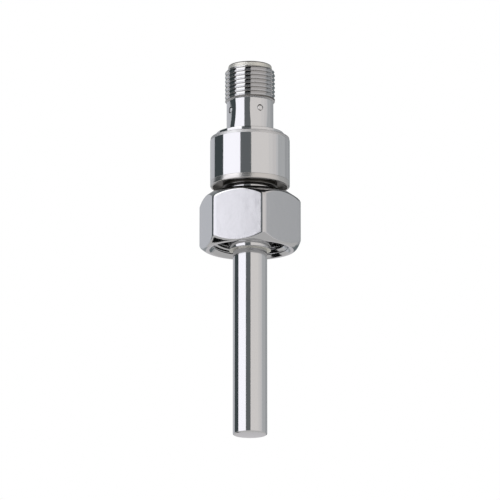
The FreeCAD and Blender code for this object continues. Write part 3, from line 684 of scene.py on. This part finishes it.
class PROBE_OT_union_nut(bpy.types.Operator):
    """Model the hexagon nut with its soft edges, bore and inner thread"""

    bl_idname = "probe.union_nut"
    bl_label = "Union nut"

    # The blank's radius, as a share of the flats' distance from the axis, reaches past the six corners.
    blank_share = 1.2
    cone_slope = math.tan(math.radians(36))
    # Rows of faces, close on the cones, where the flats cut into them.
    bottom_rows = 32
    side_rows = 8
    top_rows = 44
    # The cones' rows start here, past the rounded edges at their ends.
    first_bottom_row = 8
    first_top_row = 2
    top_edge = 0.15 * MM
    hole_lead_in = 0.4 * MM
    relief_depth = 0.1 * MM
    # Milling starts this far inside the smaller of the two end faces.
    milling_margin = 0.2 * MM
    # How steeply the wear of the edges grows towards the corners.
    wear_power = 4

    def execute(self, context):
        sizes = context.scene.probe_sizes
        low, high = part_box("union_nut")
        shoulder = high.z - sizes.nut_roof
        piece = self.turn_blank(sizes, low, high, shoulder)
        self.mill_flats(piece, sizes, high.y)
        self.cut_thread(piece, sizes, low.z, shoulder)
        material = tumbled_stainless("tumbled_stainless", context.scene.probe_colours.tumbled_steel)
        finish_piece(piece, material, "nut", "union_nut")
        return {"FINISHED"}

    def turn_blank(self, sizes, low, high, shoulder):
        """A turned blank with cone ends in fine rows, its mouth, thread bore, undercut and upper hole."""
        crest, root = sizes.nut_thread_minor / 2, sizes.nut_thread_major / 2
        relief, mouth = root + self.relief_depth, root + sizes.nut_mouth
        outer = high.y * self.blank_share
        bottom_width, top_width = outer - sizes.nut_bottom_face, outer - sizes.nut_top_face
        bottom_rise, top_rise = bottom_width * self.cone_slope, top_width * self.cone_slope
        side_low, side_high = low.z + bottom_rise, high.z - top_rise
        rows = [(sizes.nut_bottom_face, low.z, sizes.nut_bottom_round)]
        for row in range(self.first_bottom_row, self.bottom_rows + 1):
            part = row / self.bottom_rows
            rows.append((sizes.nut_bottom_face + part * bottom_width, low.z + part * bottom_rise, 0))
        for row in range(1, self.side_rows):
            rows.append((outer, side_low + row / self.side_rows * (side_high - side_low), 0))
        for row in range(self.top_rows, self.first_top_row - 1, -1):
            part = row / self.top_rows
            rows.append((sizes.nut_top_face + part * top_width, high.z - part * top_rise, 0))
        return turn("hexagon_nut", rows + [
            (sizes.nut_top_face, high.z, self.top_edge),
            (sizes.nut_hole + self.hole_lead_in, high.z, EDGE_BREAK),
            (sizes.nut_hole, high.z - self.hole_lead_in, EDGE_BREAK),
            (sizes.nut_hole, shoulder, 0),
            (relief, shoulder, 0),
            (relief, shoulder - sizes.nut_relief, 0),
            (crest, shoulder - sizes.nut_relief, 0),
            (crest, low.z + mouth - crest, 0),
            (mouth, low.z, sizes.nut_mouth_round),
        ], steps=NUT_STEPS)

    def mill_flats(self, piece, sizes, flat):
        """Bring the blank's outside in to six flats with rounded corners and soft edges along the cones."""
        corner = sizes.nut_corner_radius
        sixth, half = math.pi / 3, math.pi / 6
        centre = (flat - corner) / math.cos(half)
        inside = min(sizes.nut_top_face, sizes.nut_bottom_face) - self.milling_margin
        for vertex in piece.data.vertices:
            place = vertex.co
            radius = math.hypot(place.x, place.y)
            if radius < inside:
                continue
            turned = math.atan2(place.x, -place.y)
            angle = abs((turned + half) % sixth - half)
            if flat * math.tan(angle) <= centre * math.sin(half):
                wall = flat / math.cos(angle)
            else:
                aside = centre * math.sin(half - angle)
                wall = centre * math.cos(half - angle) + math.sqrt(corner ** 2 - aside ** 2)
            soft = sizes.nut_edge_round + sizes.nut_corner_wear * (angle / half) ** self.wear_power
            # A smooth minimum: the edge between cone and wall is rounded over this softness.
            blend = max(soft - abs(radius - wall), 0)
            milled = min(radius, wall) - blend ** 2 / (4 * soft)
            place.x *= milled / radius
            place.y *= milled / radius

    def cut_thread(self, piece, sizes, bottom, shoulder):
        """A right-hand groove from below the mouth up into the undercut."""
        pitch = sizes.nut_thread_pitch
        groove_top = shoulder - sizes.nut_relief / 2
        turns = math.floor((groove_top - bottom) / pitch) + 1
        section = thread_section(sizes.nut_thread_minor / 2, pitch, groove_top - turns * pitch, False)
        cut_away(piece, thread_cutter("nut_thread_cutter", section, pitch, turns))


class PROBE_OT_turned_pieces(bpy.types.Operator):
    """Model the rod, the stem and the ring that closes the body"""

    bl_idname = "probe.turned_pieces"
    bl_label = "Rod, stem and base ring"

    flange_round = 0.2 * MM
    # Normals of the stem's lower faces lie below this.
    down = -0.9

    def execute(self, context):
        sizes = context.scene.probe_sizes
        colours = context.scene.probe_colours
        # Polished: a clear mirror with rings that hardly show.
        polished = lathe_stainless("polished_rod_stainless", colours.polished_steel, 0.08, 0.3, 0.0007)
        # Turned with a fine feed: a soft mirror in which reflections run into each other.
        fine_turned = lathe_stainless("fine_turned_stainless", colours.ring_steel, 0.24, 0.22, 0.003)
        # Turned and left so: a pale, warm sheen.
        plain_turned = unpolished_stainless("plain_turned_stainless", colours.turned_steel)
        # Painted shade: dull brown grey in the recess under the ring.
        recess_shade = shade_painted_stainless("painted_recess_shade", "#55524d", "#7a766f", 0.35)
        finish_piece(self.rod(sizes), polished, "probe", "probe_tube")
        stem = self.stem(sizes)
        finish_piece(stem, polished, "probe", "stem")
        paint_faces(stem, plain_turned, lambda face: face.normal.z < self.down)
        ring = self.base_ring(sizes)
        finish_piece(ring, fine_turned, "probe", "base_ring")
        low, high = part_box("base_ring")
        lip = high.x - sizes.base_lip - SAME_PLACE
        recess_top = low.z + sizes.base_recess + SAME_PLACE
        # Shade is painted into the recess under the ring.
        paint_faces(ring, recess_shade, lambda face: self.in_recess(face, lip, recess_top))
        return {"FINISHED"}

    def in_recess(self, face, lip, top):
        """Whether a face of the base ring lies under it, inside the lip."""
        reach, height = ring_of(face)
        return reach < lip and height < top

    def rod(self, sizes):
        """The closed tube of the rod, with the spigot that goes into the stem."""
        low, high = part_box("probe_tube")
        floor = low.z + sizes.tip_thickness
        return turn("closed_rod", [
            (0, low.z, 0),
            (high.x, low.z, sizes.tip_round),
            (high.x, 0, EDGE_BREAK),
            (sizes.rod_spigot, 0, 0),
            (sizes.rod_spigot, high.z, 0),
            (sizes.rod_bore, high.z, 0),
            (sizes.rod_bore, floor, 0),
            (0, floor, 0),
        ])

    def stem(self, sizes):
        """The stem: lip, sealing cone, collar, flange, neck and the spigot inside the base ring."""
        low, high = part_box("stem")
        base_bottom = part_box("base_ring")[0].z
        socket = sizes.rod_spigot + PLAY
        socket_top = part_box("probe_tube")[1].z + PLAY
        collar, neck = sizes.collar_diameter / 2, sizes.stem_neck / 2
        lip_top = low.z + sizes.lip_height
        foot = collar - sizes.cone_inset
        seat = foot + sizes.cone_flare
        flange_top = sizes.collar_length + sizes.flange_thickness
        return turn("turned_stem", [
            (socket, low.z, 0),
            (collar, low.z, BRIGHT_EDGE),
            (collar, lip_top, EDGE_BREAK),
            (foot, lip_top, 0),
            (seat, lip_top + sizes.cone_height, 0),
            (seat, sizes.collar_length, self.flange_round),
            (high.x, sizes.collar_length, self.flange_round),
            (high.x, flange_top, self.flange_round),
            (neck, flange_top, 0),
            (neck, base_bottom, 0),
            (sizes.stem_spigot, base_bottom, 0),
            (sizes.stem_spigot, high.z, 0),
            (sizes.rod_bore, high.z, 0),
            (sizes.rod_bore, socket_top, 0),
            (socket, socket_top, 0),
        ])

    def base_ring(self, sizes):
        """The ring under the body: a rim that shows, a recess below and a register that fits the bore."""
        low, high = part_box("base_ring")
        hole = sizes.stem_spigot + PLAY
        land = sizes.stem_neck / 2 + sizes.base_land
        lip = high.x - sizes.base_lip
        register = high.x - sizes.body_wall - PLAY
        recess_top = low.z + sizes.base_recess
        joint = low.z + sizes.base_height
        return turn("closing_ring", [
            (hole, low.z, 0),
            (land, low.z, EDGE_BREAK),
            (land, recess_top, 0),
            (lip, recess_top, 0),
            (lip, low.z, EDGE_BREAK),
            (high.x, low.z, sizes.base_edge),
            (high.x, joint, EDGE_BREAK),
            (register, joint, 0),
            (register, high.z, 0),
            (hole, high.z, 0),
        ])


class PROBE_OT_inner_finishes(bpy.types.Operator):
    """Give the connector's insert, the seals, the washer and the pieces inside their materials"""

    bl_idname = "probe.inner_finishes"
    bl_label = "Inner finishes"

    def execute(self, context):
        colours = context.scene.probe_colours
        pins = self.numbered("contact_pin", 4)
        wires = self.numbered("lead_wire", 4)
        bare_metal = self.numbered("crimp_sleeve", 2) + self.numbered("element_lead", 2)
        # A row holds a material, its colour, roughness, grain and depth, 1 for a metal, and its nodes.
        finishes = (
            # Moulded with glass fibres: satin black with a fine grain.
            ("glass_filled_polyamide", colours.carrier, 0.42, 0.12, 0.004, 0, ["contact_carrier"]),
            # Moulded rubber: a matt black.
            ("fluorocarbon_rubber", colours.rubber, 0.62, 0.08, 0.004, 0, ["flange_seal", "carrier_seal"]),
            # Plated: a warm and nearly clear shine.
            ("gold_plated_brass", colours.gold, 0.2, 0.15, 0.0005, 1, pins),
            # Machined from a natural plastic: creamy, with a low gloss.
            ("bearing_plastic", colours.washer, 0.4, 0.2, 0.002, 0, ["thrust_washer"]),
            # Coated with solder mask: green, with an uneven gloss.
            ("solder_masked_laminate", colours.laminate, 0.35, 0.3, 0.003, 0, ["terminal_board"]),
            # Drawn over the wire: smooth, waxy white.
            ("fluoropolymer_insulation", colours.wire, 0.35, 0.2, 0.001, 0, wires),
            # Dipped in tin: a soft, pale grey shine.
            ("tinned_copper", colours.tin, 0.35, 0.12, 0.001, 1, bare_metal),
            # Fired and glazed: clean white with some gloss.
            ("alumina_ceramic", colours.ceramic, 0.3, 0.1, 0.001, 0, ["sensing_element"]),
            # Drawn as a tube: smooth and milky.
            ("milky_fluoropolymer", colours.sleeve, 0.3, 0.3, 0.001, 0, ["insulating_sleeve"]),
            # Filled in as a paste: dull, grainy grey.
            ("heat_conducting_paste", colours.paste, 0.6, 0.15, 0.006, 0, ["tip_filling"]),
            # Cast: black, with a gloss that waves a little.
            ("cast_resin", colours.resin, 0.3, 0.6, 0.004, 0, ["potting"]),
        )
        for *finish, nodes in finishes:
            material = inner_finish(*finish)
            for node in nodes:
                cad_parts[node].data.materials.clear()
                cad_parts[node].data.materials.append(material)
        return {"FINISHED"}

    def numbered(self, name, count):
        """The nodes of a row of like pieces."""
        return [f"{name}_{number}" for number in range(1, count + 1)]


class PROBE_OT_studio(bpy.types.Operator):
    """Set up the floor, the reflector cards, the background and the camera"""

    bl_idname = "probe.studio"
    bl_label = "Studio"

    view_azimuth = math.radians(14.6)
    view_elevation = math.radians(13.5)
    view_distance = 1.3
    view_height = 0.17 * MM
    # Half the picture's width and a metre at the probe, both in pixels, give the lens its angle.
    half_picture = 250
    pixels_per_metre = 4175
    view_angle = 2 * math.atan(half_picture / (pixels_per_metre * view_distance))
    nearest_view = 0.01
    farthest_view = 50
    floor_size = 8
    floor_height = -0.36
    ceiling_size = 2.4
    ceiling_height = 1.7
    ceiling_shade = "#242424"
    wall_distance = 1.0
    wall_height = 0.42
    lying_height = -0.25
    sweep_steps = 24
    # A card is swept round the probe between two ends, each with its distance from the axis and its height.
    upright = ((wall_distance, floor_height), (wall_distance, wall_height))
    raised = ((wall_distance, wall_height), (wall_distance, ceiling_height))
    lying = ((0.17, lying_height), (0.32, lying_height))
    # A row holds a card's name, first and last angle, ends, shade and strength.
    # Angles are in degrees about the axis, from the camera towards its right.
    cards = (
        ("left_wall", -160, -125, upright, "#d2d4d9", 1.0),
        ("black_flag", -125, -84, upright, "#4a5254", 1.0),
        ("softbox", -84, -28, upright, "#faf9ff", 1.55),
        ("camera_side", -28, 3.6, upright, "#6f7375", 1.0),
        ("warm_wall", 3.6, 56, upright, "#f7f3f0", 1.0),
        ("warm_fading", 56, 69, upright, "#f0edeb", 1.0),
        ("warm_pale", 69, 82, upright, "#e8e5e4", 1.0),
        ("warm_end", 82, 89.5, upright, "#dededf", 1.0),
        ("right_wall", 89.5, 122, upright, "#c6c8c9", 1.0),
        ("far_right", 122, 155, upright, "#b4b6b8", 1.0),
        ("back_right", 155, 174, upright, "#757c7e", 1.0),
        ("back_wall", 174, 187, upright, "#d2d0d2", 1.0),
        ("back_left", 187, 200, upright, "#a5aaac", 1.0),
        ("left_top", -180, -103, raised, "#8f9394", 1.0),
        ("flag_top", -103, -77, raised, "#16191a", 1.0),
        ("softbox_top", -77, -29, raised, "#ffffff", 2.6),
        ("camera_top", -29, 3.8, raised, "#1e2021", 1.0),
        ("warm_top", 3.8, 95, raised, "#ebe6e2", 1.0),
        ("right_top", 95, 180, raised, "#626567", 1.0),
        ("low_flag", -165, -105, lying, "#101112", 1.0),
    )

    def execute(self, context):
        self.floor(context.scene.probe_colours)
        for card in self.cards:
            self.card(*card)
        self.ceiling()
        self.background(context.scene)
        self.camera(context.scene)
        context.scene.view_settings.view_transform = "Standard"
        return {"FINISHED"}

    def sheet(self, name, size, height):
        """A level square sheet."""
        return begin(bpy.ops.mesh.primitive_plane_add, name, size=size, location=(0, 0, height))

    def floor(self, colours):
        """A plain pale floor, well below the probe."""
        floor = self.sheet("studio_floor", self.floor_size, self.floor_height)
        # Matt paint: an even pale ground with no gloss.
        material, tree = new_tree("studio_floor")
        close_tree(tree, Base_Color=colours.floor, Roughness=0.9)
        floor.data.materials.append(material)

    def card(self, name, start, end, ends, shade, strength):
        """A card swept round the probe."""
        first = self.view_azimuth + math.radians(start)
        aside = Vector((math.sin(first), -math.cos(first), 0))
        card = draw_line(name, [aside * radius + Vector((0, 0, height)) for radius, height in ends])
        bpy.ops.mesh.select_all(action="SELECT")
        sweep = math.radians(end - start)
        bpy.ops.mesh.spin(steps=self.sweep_steps, angle=-sweep, center=(0, 0, 0), axis=(0, 0, 1))
        bpy.ops.object.mode_set(mode="OBJECT")
        self.light_up(card, shade, strength)

    def ceiling(self):
        """A dark card over the probe."""
        ceiling = self.sheet("ceiling_card", self.ceiling_size, self.ceiling_height)
        self.light_up(ceiling, self.ceiling_shade, 1.0)

    def light_up(self, card, shade, strength):
        """Give a card an even glow that only reflections see."""
        material, tree = new_tree(card.name)
        glow = add_node(tree, "ShaderNodeEmission", {"Color": linear(shade), "Strength": strength})
        add_node(tree, "ShaderNodeOutputMaterial", {"Surface": glow.outputs["Emission"]})
        card.data.materials.append(material)
        card.visible_camera = False
        card.visible_diffuse = False
        card.visible_shadow = False

    def background(self, scene):
        """White where the camera, metal and glass look; a plain grey level for everything else."""
        world = bpy.data.worlds.new("studio")
        world.use_nodes = True
        tree = world.node_tree
        tree.nodes.clear()
        path = add_node(tree, "ShaderNodeLightPath").outputs
        seen = path["Is Camera Ray"]
        for ray in ("Is Glossy Ray", "Is Transmission Ray"):
            either = add_node(tree, "ShaderNodeMath", {0: seen, 1: path[ray]}, operation="MAXIMUM")
            seen = either.outputs["Value"]
        white = add_node(tree, "ShaderNodeBackground", {"Color": linear("#ffffff"), "Strength": 1})
        plain = add_node(tree, "ShaderNodeBackground", {"Color": linear("#f4f4f4"), "Strength": 0.8})
        mix = add_node(
            tree,
            "ShaderNodeMixShader",
            {0: seen, 1: plain.outputs["Background"], 2: white.outputs["Background"]},
        )
        add_node(tree, "ShaderNodeOutputWorld", {"Surface": mix.outputs["Shader"]})
        scene.world = world

    def camera(self, scene):
        """A long lens from slightly below, a little to the right of the nut's front flat."""
        data = bpy.data.cameras.new("camera")
        camera = bpy.data.objects.new("camera", data)
        scene.collection.objects.link(camera)
        level = self.view_distance * math.cos(self.view_elevation)
        target = Vector((0, 0, self.view_height))
        camera.location = target + Vector((
            level * math.sin(self.view_azimuth),
            -level * math.cos(self.view_azimuth),
            -self.view_distance * math.sin(self.view_elevation),
        ))
        camera.rotation_euler = (target - camera.location).to_track_quat("-Z", "Y").to_euler()
        data.angle = self.view_angle
        data.clip_start = self.nearest_view
        data.clip_end = self.farthest_view
        scene.camera = camera


class PROBE_PT_sidebar(bpy.types.Panel):
    """The probe's steps in the order in which they run"""

    bl_idname = "PROBE_PT_sidebar"
    bl_label = "Temperature probe"
    bl_space_type = "VIEW_3D"
    bl_region_type = "UI"
    bl_category = "Probe"

    def draw(self, context):
        for step in STEPS:
            self.layout.operator(step.bl_idname)


STEPS = (
    PROBE_OT_connector_housing,
    PROBE_OT_union_nut,
    PROBE_OT_turned_pieces,
    PROBE_OT_inner_finishes,
    PROBE_OT_studio,
)
CLASSES = (ProbeSizes, ProbeColours, *STEPS, PROBE_PT_sidebar)


def register():
    for item in CLASSES:
        bpy.utils.register_class(item)
    bpy.types.Scene.probe_sizes = bpy.props.PointerProperty(type=ProbeSizes)
    bpy.types.Scene.probe_colours = bpy.props.PointerProperty(type=ProbeColours)


def unregister():
    del bpy.types.Scene.probe_colours
    del bpy.types.Scene.probe_sizes
    for item in reversed(CLASSES):
        bpy.utils.unregister_class(item)


def main():
    register()
    bpy.ops.probe.connector_housing()
    bpy.ops.probe.union_nut()
    bpy.ops.probe.turned_pieces()
    bpy.ops.probe.inner_finishes()
    bpy.ops.probe.studio()


if __name__ == "__main__":
    main()
